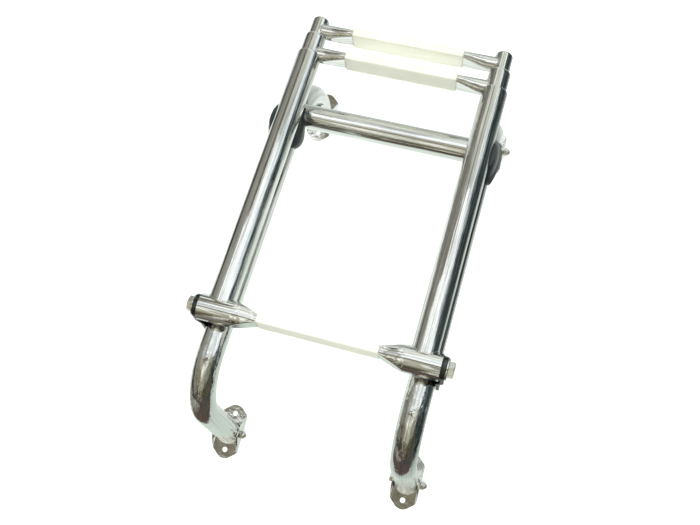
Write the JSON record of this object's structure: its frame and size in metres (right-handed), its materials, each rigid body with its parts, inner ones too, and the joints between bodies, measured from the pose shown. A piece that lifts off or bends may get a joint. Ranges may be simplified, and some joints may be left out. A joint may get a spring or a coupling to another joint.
{
  "type": "boat boarding ladder",
  "caption": "Polished tube boarding ladder: folding pair of telescoping rails with flat treads, hinged on a base frame of bent tubes with bolt-on mounting brackets, shown stowed.",
  "frame": {"origin": "centre of the bounding box's bottom, on the plane of the four bracket plates, which is the transom or platform face", "axes": "+X along the hinge axis and the steps, +Y from the hinge end to the step end of the stowed ladder, +Z away from the mounting face"},
  "size_m": [0.3212, 0.5868, 0.2329],
  "materials": {
    "polished": "mirror-polished stainless steel tube and sheet",
    "fastener": "bright stainless fasteners",
    "tread": "off-white moulded plastic, fine grained",
    "nylon": "natural nylon",
    "black": "black nylon and black-coated steel, semi-matt"
  },
  "bodies": {
    "base": {"cross_bar": "polished", "base_tube_left": "polished", "pivot_lug_left": "black", "stow_clip_left": "black", "bracket_lower_left": "polished", "bracket_bolt_lower_left": "fastener", "bracket_nut_lower_left": "fastener", "bracket_upper_left": "polished", "bracket_bolt_upper_left": "fastener", "bracket_nut_upper_left": "fastener", "base_tube_right": "polished", "pivot_lug_right": "black", "stow_clip_right": "black", "bracket_lower_right": "polished", "bracket_bolt_lower_right": "fastener", "bracket_nut_lower_right": "fastener", "bracket_upper_right": "polished", "bracket_bolt_upper_right": "fastener", "bracket_nut_upper_right": "fastener"},
    "outer": {"pivot_step_tube": "polished", "pivot_tread": "tread", "outer_tube_left": "polished", "outer_glide_left": "nylon", "pivot_bolt_left": "fastener", "pivot_washer_left": "fastener", "pivot_spacer_left": "black", "pivot_insert_left": "fastener", "outer_tube_right": "polished", "outer_glide_right": "nylon", "pivot_bolt_right": "fastener", "pivot_washer_right": "fastener", "pivot_spacer_right": "black", "pivot_insert_right": "fastener"},
    "middle": {"middle_step_tube": "polished", "middle_tread": "tread", "middle_tube_left": "polished", "middle_glide_left": "nylon", "middle_guide_left": "nylon", "middle_tube_right": "polished", "middle_glide_right": "nylon", "middle_guide_right": "nylon"},
    "inner": {"inner_step_tube": "polished", "inner_tread": "tread", "inner_tube_left": "polished", "inner_guide_left": "nylon", "inner_cap_left": "black", "inner_tube_right": "polished", "inner_guide_right": "nylon", "inner_cap_right": "black"}
  },
  "joints": [
    {"name": "ladder_swing", "type": "hinge", "parent": "base", "child": "outer", "pos_m": [0, -0.1232, 0.21692], "axis": [1, 0, 0], "range_deg": [0, 180]},
    {"name": "middle_slide", "type": "slide", "parent": "outer", "child": "middle", "axis": [0, 0.9896, -0.1438], "range_m": [0, 0.2985]},
    {"name": "inner_slide", "type": "slide", "parent": "middle", "child": "inner", "axis": [0, 0.9896, -0.1438], "range_m": [0, 0.2985]}
  ]
}
